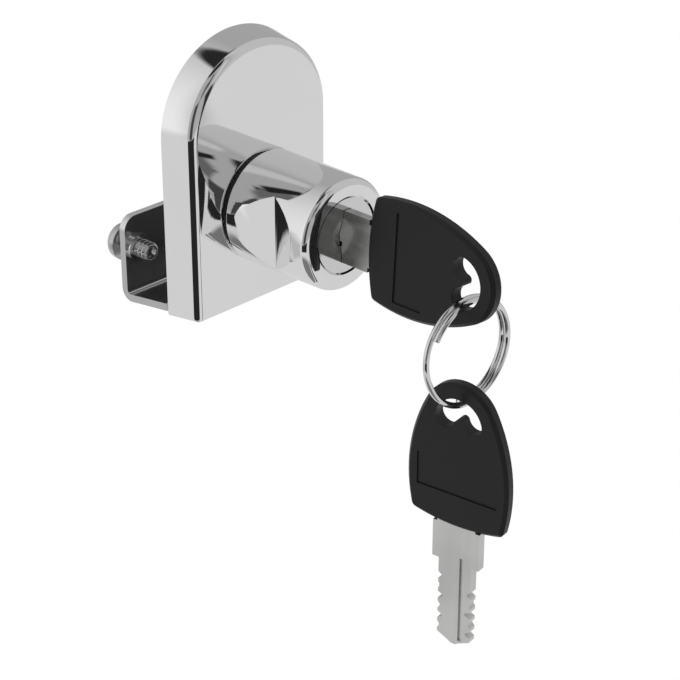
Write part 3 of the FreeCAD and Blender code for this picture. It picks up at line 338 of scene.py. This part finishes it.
def make_cover_shell():
    """The cover's shell: skinned from its outline, hollowed, with its openings cut."""
    shell = bmesh.new()
    loops = [cover_loop(0, RIM, 0, RIM, 0)]
    stations = 8
    for i in range(stations + 1):
        inset, depth = edge_station(LEAN_IN, EDGE_ROUND, i / stations)
        lift, lower_depth = edge_station(0, LOWER_ROUND, i / stations)
        shift = FACE_SHIFT * (RIM - depth) / (RIM - FRONT)
        loops.append(cover_loop(inset, depth, lift, lower_depth, shift))
    skin(shell, loops, close_ends=True)
    tools = []
    hollow = bmesh.new()
    floor = FRONT + WALL
    lean = LEAN_IN * (RIM - floor) / (RIM - FRONT)
    skin(hollow, [cover_loop(WALL, RIM + 0.1, WALL, RIM + 0.1, 0),
                  cover_loop(WALL + lean, floor, WALL, floor, FACE_SHIFT)], close_ends=True)
    tools.append(cutter("hollow_cutter", hollow))
    neck = bmesh.new()
    turn_flat = Matrix.Rotation(math.pi / 2, 4, "X")
    hole = NECK_HOLE * MM
    bmesh.ops.create_cone(neck, cap_ends=True, segments=64, radius1=hole, radius2=hole, depth=4 * WALL * MM,
                          matrix=Matrix.Translation((0, FRONT * MM, 0)) @ turn_flat)
    tools.append(cutter("neck_cutter", neck))
    bolt_low, bolt_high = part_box("latch_bolt")
    tools.append(box_cutter("mouth_cutter",
                            (bolt_low.x / MM - MOUTH_ROOM, bolt_low.y / MM - MOUTH_ROOM, BOTTOM - 1),
                            (bolt_high.x / MM + MOUTH_ROOM, RIM + 0.1, BOTTOM + WALL + 0.5)))
    side = HALF_WIDTH - WALL
    tools.append(box_cutter("bend_cutter", (COVER_MIDDLE - side, BEND_FRONT, BEND_LOW),
                            (COVER_MIDDLE + side, RIM + 0.1, BEND_HIGH)))
    cover = finish_piece("cover_shell", shell, MATERIALS["cover"], "case", "cover_chrome", "cover")
    cut_away(cover, tools)


make_cover_shell()


def make_cover_bosses():
    """The screw bosses and guide ribs inside the cover, as they are."""
    bosses = bmesh.new()
    bosses.from_mesh(nodes["cover"].data)
    floor = (FRONT + WALL) * MM
    low = (BOTTOM + WALL) * MM
    near = 0.05 * MM
    reach = HALF_WIDTH - WALL - 0.3
    outside = []
    for face in bosses.faces:
        spots = [v.co for v in face.verts]
        inside = all(math.hypot(s.x / MM - COVER_MIDDLE, max(s.z / MM - ARCH_MIDDLE, 0)) < reach
                     for s in spots)
        inside = inside and all(floor - near < s.y < RIM * MM - near and s.z > low - near for s in spots)
        on_floor = all(abs(s.y - floor) < near for s in spots)
        on_wall = all(abs(s.z - low) < near for s in spots)
        if not inside or on_floor or on_wall:
            outside.append(face)
    bmesh.ops.delete(bosses, geom=outside, context="FACES")
    finish_piece("cover_bosses", bosses, MATERIALS["cover"], "case", "cover_chrome", "cover")


make_cover_bosses()


# Knob: turned, with a ramp, a crease and a rising ledge for the fingers on both sides

KNOB_RADIUS = 12.0
KNOB_FACE_RADIUS = 11.7
KNOB_ROUND = 1.5
KNOB_BEVEL = 0.4
BEVEL_MIDDLE_IN = 0.13
BEVEL_MIDDLE_BACK = 0.12
WASHER_ROOM = 0.7
KNOB_FACE = -30.9
KNOB_SEAT = -28.14
NECK_RADIUS = 7.8
NECK_BORE = 6.36
FACE_BORE = 7.86
GAP_BORE = 8.22
GAP_DEPTH = 2.2
GRIP_START = -10.7
GRIP_END = -19.8
GRIP_FLOOR = 8.9
LEDGE_SLOPE = 3.1
LEDGE_BEND = 0.17


def grip_cutter(side):
    """What the grip on one side takes away: a prism along Z."""
    slope = math.atan2(KNOB_RADIUS - GRIP_FLOOR, GRIP_START - GRIP_END)
    above = KNOB_RADIUS + 2
    outside = 16
    ahead = (outside - GRIP_FLOOR) / math.tan(slope)
    points = [(outside, GRIP_END + ahead)]
    steps = 10
    for i in range(steps + 1):
        rise = (outside - GRIP_FLOOR) * i / steps
        points.append((GRIP_FLOOR + rise, GRIP_END - rise * (LEDGE_SLOPE - LEDGE_BEND * rise)))
    grip = bmesh.new()
    loops = [[Vector((side * x, y, z)) * MM for x, y in points] for z in (-above, above)]
    skin(grip, loops, close_ends=True)
    return cutter("grip_cutter", grip)


def make_knob():
    """The knob with its neck, left smooth though the real one is threaded, turned from one profile of
    radius and depth.
    """
    knob = bmesh.new()
    neck_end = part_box("lock_knob")[1].y / MM
    base = FRONT - WASHER_ROOM
    profile = [(NECK_BORE, neck_end), (NECK_RADIUS, neck_end), (NECK_RADIUS, base),
               (KNOB_RADIUS - KNOB_BEVEL, base),
               (KNOB_RADIUS - BEVEL_MIDDLE_IN, base - BEVEL_MIDDLE_BACK),
               (KNOB_RADIUS, base - KNOB_BEVEL)]
    stations = 8
    for i in range(stations + 1):
        angle = math.pi / 2 * i / stations
        profile.append((KNOB_FACE_RADIUS - KNOB_ROUND + KNOB_ROUND * math.cos(angle),
                        KNOB_FACE + KNOB_ROUND - KNOB_ROUND * math.sin(angle)))
    gap_end = KNOB_FACE + GAP_DEPTH
    profile += [(GAP_BORE, KNOB_FACE), (GAP_BORE, gap_end), (FACE_BORE, gap_end),
                (FACE_BORE, KNOB_SEAT), (NECK_BORE, KNOB_SEAT), (NECK_BORE, neck_end)]
    sides = 96
    loops = []
    for radius, along in profile:
        turns = [2 * math.pi * k / sides for k in range(sides)]
        loops.append([Vector((radius * math.cos(a), along, radius * math.sin(a))) * MM for a in turns])
    skin(knob, loops)
    bmesh.ops.remove_doubles(knob, verts=knob.verts, dist=1e-7)
    low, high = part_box("wafers")
    room = 7.7
    slack = 0.3
    wafer_slot = box_cutter("wafer_cutter", (low.x / MM - slack, low.y / MM - slack, -room),
                            (high.x / MM + slack, high.y / MM + slack, room))
    piece = finish_piece("turned_knob", knob, MATERIALS["lock_knob"], "case", "knob_chrome", "lock_knob")
    cut_away(piece, [grip_cutter(-1), grip_cutter(1), wafer_slot])


make_knob()


# Split ring: one wire that runs round about 1.7 times

RING_RADIUS = 10.8
WIRE_RADIUS = 0.63
WIRE_ASIDE = 0.67
RING_HANG = Vector((-0.2393, -62.25, -3.9127))
RING_YAW = math.radians(-2)
RING_LEAN = math.radians(4)
FIRST_TURN = 248
STEP_OVER = 360
WHOLE_WIRE = 608
START = 262


def wire_offset(turned):
    """Where the wire lies across the ring: on the near side, then over to the far side."""
    share = min(max((turned - FIRST_TURN) / (STEP_OVER - FIRST_TURN), 0), 1)
    share = share * share * (3 - 2 * share)
    return WIRE_ASIDE * (2 * share - 1)


def make_split_ring():
    ring = bmesh.new()
    steps = 304
    sides = 16
    loops = []
    ends = [(0, 0.35), (0.35, 0.75), (0.7, 0.93)]
    stations = list(ends)
    stations += [(1 + (WHOLE_WIRE - 2) * i / steps, 1.0) for i in range(steps + 1)]
    stations += [(WHOLE_WIRE - turned, scale) for turned, scale in reversed(ends)]
    for turned, scale in stations:
        angle = math.radians(START + turned)
        outward = Vector((math.cos(angle), math.sin(angle), 0))
        middle = outward * RING_RADIUS + Vector((0, 0, wire_offset(turned)))
        loop = []
        for k in range(sides):
            around = 2 * math.pi * k / sides
            reach = WIRE_RADIUS * scale
            loop.append((middle + outward * (reach * math.cos(around))
                         + Vector((0, 0, reach * math.sin(around)))) * MM)
        loops.append(loop)
    skin(ring, loops, close_ends=True)
    across = Vector((math.cos(RING_YAW), math.sin(RING_YAW), 0))
    centre = (RING_HANG + across * (RING_RADIUS * math.sin(RING_LEAN))
              - Vector((0, 0, RING_RADIUS * math.cos(RING_LEAN))))
    place = (Matrix.Translation(centre * MM) @ Matrix.Rotation(RING_YAW, 4, "Z")
             @ Matrix.Rotation(math.pi / 2, 4, "X"))
    ring.transform(place)
    return finish_piece("split_ring", ring, RING_CHROME, "ring", "ring_steel", "key_ring")


make_split_ring()


# Clamp screws with their thread

SHANK = 1.98
THREAD_DEEP = 0.45
THREAD_PITCH = 1.15
TIP_BEVEL = 0.5
SCREW_TIP = 7.1
SCREW_SEAT = 14.95
SCREW_DROP = -9.7
SCREW_LEFT = -18.1
SCREW_RIGHT = 15.3


def thread_reach(along, turn):
    """Radius of the shank at a depth and an angle: ridges, with a bevel at the tip."""
    phase = ((along - SCREW_TIP) / THREAD_PITCH - turn) % 1.0
    steepness = 1.7
    root = 0.25
    ridge = min(max(steepness * (1 - abs(2 * phase - 1)) - root, 0), 1)
    reach = SHANK - THREAD_DEEP * (1 - ridge)
    return min(reach, SHANK - TIP_BEVEL + (along - SCREW_TIP))


def make_clamp_screw(name, node, body, across):
    """The screw's head as it is, its smooth shank exchanged for a threaded one with a cup point."""
    screw = bmesh.new()
    screw.from_mesh(nodes[node].data)
    axis = Vector((across, 0, SCREW_DROP)) * MM
    shank_faces = []
    for face in screw.faces:
        inside = [((v.co - axis) * Vector((1, 0, 1))).length < (SHANK + 0.03) * MM
                  and v.co.y < (SCREW_SEAT + 0.02) * MM for v in face.verts]
        if all(inside):
            shank_faces.append(face)
    bmesh.ops.delete(screw, geom=shank_faces, context="FACES")
    rows = 92
    sides = 32
    length = SCREW_SEAT + 0.15 - SCREW_TIP
    loops = []
    cup = [(0.15, 0.75), (0.6, 0.5), (1.05, 0.12), (1.2, 0.0)]
    for reach, deep in cup:
        loops.append([(reach, SCREW_TIP + deep)] * sides)
    for i in range(rows + 1):
        along = SCREW_TIP + length * i / rows
        loops.append([(thread_reach(along, k / sides), along) for k in range(sides)])
    points = []
    for loop in loops:
        row = []
        for k, (reach, along) in enumerate(loop):
            turn = 2 * math.pi * k / sides
            row.append(axis + Vector((reach * math.cos(turn), along, reach * math.sin(turn))) * MM)
        points.append(row)
    rings = skin(screw, points)
    screw.faces.new(rings[0])
    screw.faces.new(rings[-1])
    return finish_piece(name, screw, SCREW_CHROME, body, "screw_steel", node)


make_clamp_screw("threaded_screw_left", "clamp_screw_left", "clamp_left", SCREW_LEFT)
make_clamp_screw("threaded_screw_right", "clamp_screw_right", "clamp_right", SCREW_RIGHT)


# Camera at the photograph's angle

AZIMUTH = math.radians(-45.97)
ELEVATION = math.radians(26.8)
AIM = Vector((0, -8.0, 0)) * MM
DISTANCE = 408.7
MOVE_RIGHT = 15.139
MOVE_DOWN = 27.77
SENSOR_WIDTH = 36
FOCAL_IN_PIXELS = 1999.4
PICTURE_WIDTH = 680
back = Vector((math.sin(AZIMUTH) * math.cos(ELEVATION),
               -math.cos(AZIMUTH) * math.cos(ELEVATION), math.sin(ELEVATION)))
right = Vector((0, 0, 1)).cross(back).normalized()
up = back.cross(right)
camera_data = bpy.data.cameras.new("camera")
camera_data.sensor_width = SENSOR_WIDTH
camera_data.lens = FOCAL_IN_PIXELS / PICTURE_WIDTH * SENSOR_WIDTH
camera_data.clip_start = 0.01
camera_data.clip_end = 20
camera = bpy.data.objects.new("camera", camera_data)
bpy.context.scene.collection.objects.link(camera)
turn = Matrix((right, up, back)).transposed()
place = AIM + (right * MOVE_RIGHT - up * MOVE_DOWN + back * DISTANCE) * MM
camera.matrix_world = Matrix.Translation(place) @ turn.to_4x4()
bpy.context.scene.camera = camera


# Floor and studio light

def seen_directly(tree):
    """1 for rays from the camera and rays through glass."""
    rays = tree.nodes.new("ShaderNodeLightPath")
    return calculate(tree, "MAXIMUM", rays.outputs["Is Camera Ray"], rays.outputs["Is Transmission Ray"])


def make_floor():
    """White to the camera, and with its own shading for the light."""
    mesh = bpy.data.meshes.new("floor")
    edge = 6.0
    level = -0.16
    corners = [(-edge, -edge, level), (edge, -edge, level), (edge, edge, level), (-edge, edge, level)]
    mesh.from_pydata(corners, [], [(0, 1, 2, 3)])
    floor = bpy.data.objects.new("floor", mesh)
    floor.visible_glossy = False
    bpy.context.scene.collection.objects.link(floor)
    material, tree, shader = new_material("floor_white")
    shader.inputs["Base Color"].default_value = (0.9, 0.9, 0.9, 1)
    shader.inputs["Roughness"].default_value = 0.9
    glow = tree.nodes.new("ShaderNodeEmission")
    glow.inputs["Color"].default_value = (1, 1, 1, 1)
    mix = tree.nodes.new("ShaderNodeMixShader")
    tree.links.new(seen_directly(tree), mix.inputs[0])
    tree.links.new(shader.outputs[0], mix.inputs[1])
    tree.links.new(glow.outputs[0], mix.inputs[2])
    tree.links.new(mix.outputs[0], tree.nodes["Material Output"].inputs["Surface"])
    mesh.materials.append(material)


make_floor()


# Tones of the tent that the mirrors see, in front and behind
LOWER_TENT = 0.7
LEFT_TENT = 0.42
RIGHT_TENT = 0.55
LOWER_REAR = 0.69
TOP_REAR = 0.02
REAR_MIDDLE = 0.52
REAR_FALL = -0.4
REAR_LEAST = 0.4
REAR_SHADE = 0.5
SLANTED_BAR = 0.03
DIFFUSE_TENT = 0.6

# Degrees, or for the last one a share of depth, over which one tone passes into the next
RIGHT_SIDE_STARTS = (10, 30)
LOWER_TENT_ENDS = (-15, -9)
LOWER_REAR_ENDS = (-12, -2)
TOP_REAR_STARTS = (69, 72)
REAR_STARTS = (0.05, 0.2)

# Dark and pale cards that the mirrors see. Each is azimuth from and to, elevation from and to,
# width of its edge, tone. Azimuth 0 is straight in front and positive to the right.
CARDS = [
    (-100, 5, -100, -35, 5, 0.2),
    (0, 12, 14, 55, 3, 0.6),
    (-91, -18, -25.3, -13, 1, 0.02),
    (-72, -42, -13, 26, 2, 0.06),
    (-45, -26, 26, 45, 4, 0.14),
    (-27, -17, 30, 52, 2, 0.015),
    (-100, -10, 62, 100, 3, 0.02),
]


def make_world():
    """White behind the object, an even tent for the light, pale and dark cards for the mirrors."""
    world = bpy.data.worlds.new("studio")
    bpy.context.scene.world = world
    world.use_nodes = True
    tree = world.node_tree
    way = tree.nodes.new("ShaderNodeTexCoord")
    split = tree.nodes.new("ShaderNodeSeparateXYZ")
    tree.links.new(way.outputs["Generated"], split.inputs[0])
    x, y, z = split.outputs
    forward = calculate(tree, "MULTIPLY", y, -1.0)
    azimuth = calculate(tree, "DEGREES", calculate(tree, "ARCTAN2", x, forward))
    elevation = calculate(tree, "DEGREES", calculate(tree, "ARCSINE", z))
    right_side = smooth_step(tree, azimuth, *RIGHT_SIDE_STARTS)
    upper = paint(tree, right_side, LEFT_TENT, RIGHT_TENT)
    tent = paint(tree, smooth_step(tree, elevation, *LOWER_TENT_ENDS), LOWER_TENT, upper)
    slanted = calculate(tree, "ADD", azimuth, elevation)
    bar = calculate(tree, "MULTIPLY", band(tree, slanted, 5, 18, 2), band(tree, elevation, -19, 13, 2))
    tent = paint(tree, bar, tent, SLANTED_BAR)
    for left, right_edge, low, high, edge, tone in CARDS:
        mask = calculate(tree, "MULTIPLY", band(tree, azimuth, left, right_edge, edge),
                         band(tree, elevation, low, high, edge))
        tent = paint(tree, mask, tent, tone)
    across = calculate(tree, "MULTIPLY_ADD", x, REAR_FALL, REAR_MIDDLE)
    rear = calculate(tree, "MAXIMUM", across, REAR_LEAST)
    rear = paint(tree, smooth_step(tree, elevation, *LOWER_REAR_ENDS), LOWER_REAR, rear)
    rear = paint(tree, smooth_step(tree, elevation, *TOP_REAR_STARTS), rear, TOP_REAR)
    shade = calculate(tree, "MULTIPLY", band(tree, azimuth, -155, -121, 3),
                      band(tree, elevation, -34, -14, 4))
    rear = paint(tree, shade, rear, REAR_SHADE)
    tent = paint(tree, smooth_step(tree, y, *REAR_STARTS), tent, rear)
    rays = tree.nodes.new("ShaderNodeLightPath")
    seen = paint(tree, rays.outputs["Is Glossy Ray"], DIFFUSE_TENT, tent)
    seen = paint(tree, seen_directly(tree), seen, 1.0)
    tree.links.new(seen, tree.nodes["Background"].inputs["Color"])


make_world()


def area_light(name, place, target, width, power):
    """A soft lamp that the mirrors don't see."""
    data = bpy.data.lights.new(name, "AREA")
    data.shape = "SQUARE"
    data.size = width
    data.energy = power
    lamp = bpy.data.objects.new(name, data)
    lamp.visible_glossy = False
    lamp.location = place
    way = Vector(target) - Vector(place)
    lamp.rotation_euler = way.to_track_quat("-Z", "Y").to_euler()
    bpy.context.scene.collection.objects.link(lamp)


area_light("key_lamp", (-0.6, -0.5, 0.9), (0, -0.03, 0), 0.7, 6.0)
area_light("fill_lamp", (0.9, -0.3, 0.5), (0, -0.03, 0), 0.8, 3.0)

bpy.context.scene.view_settings.view_transform = "Standard"
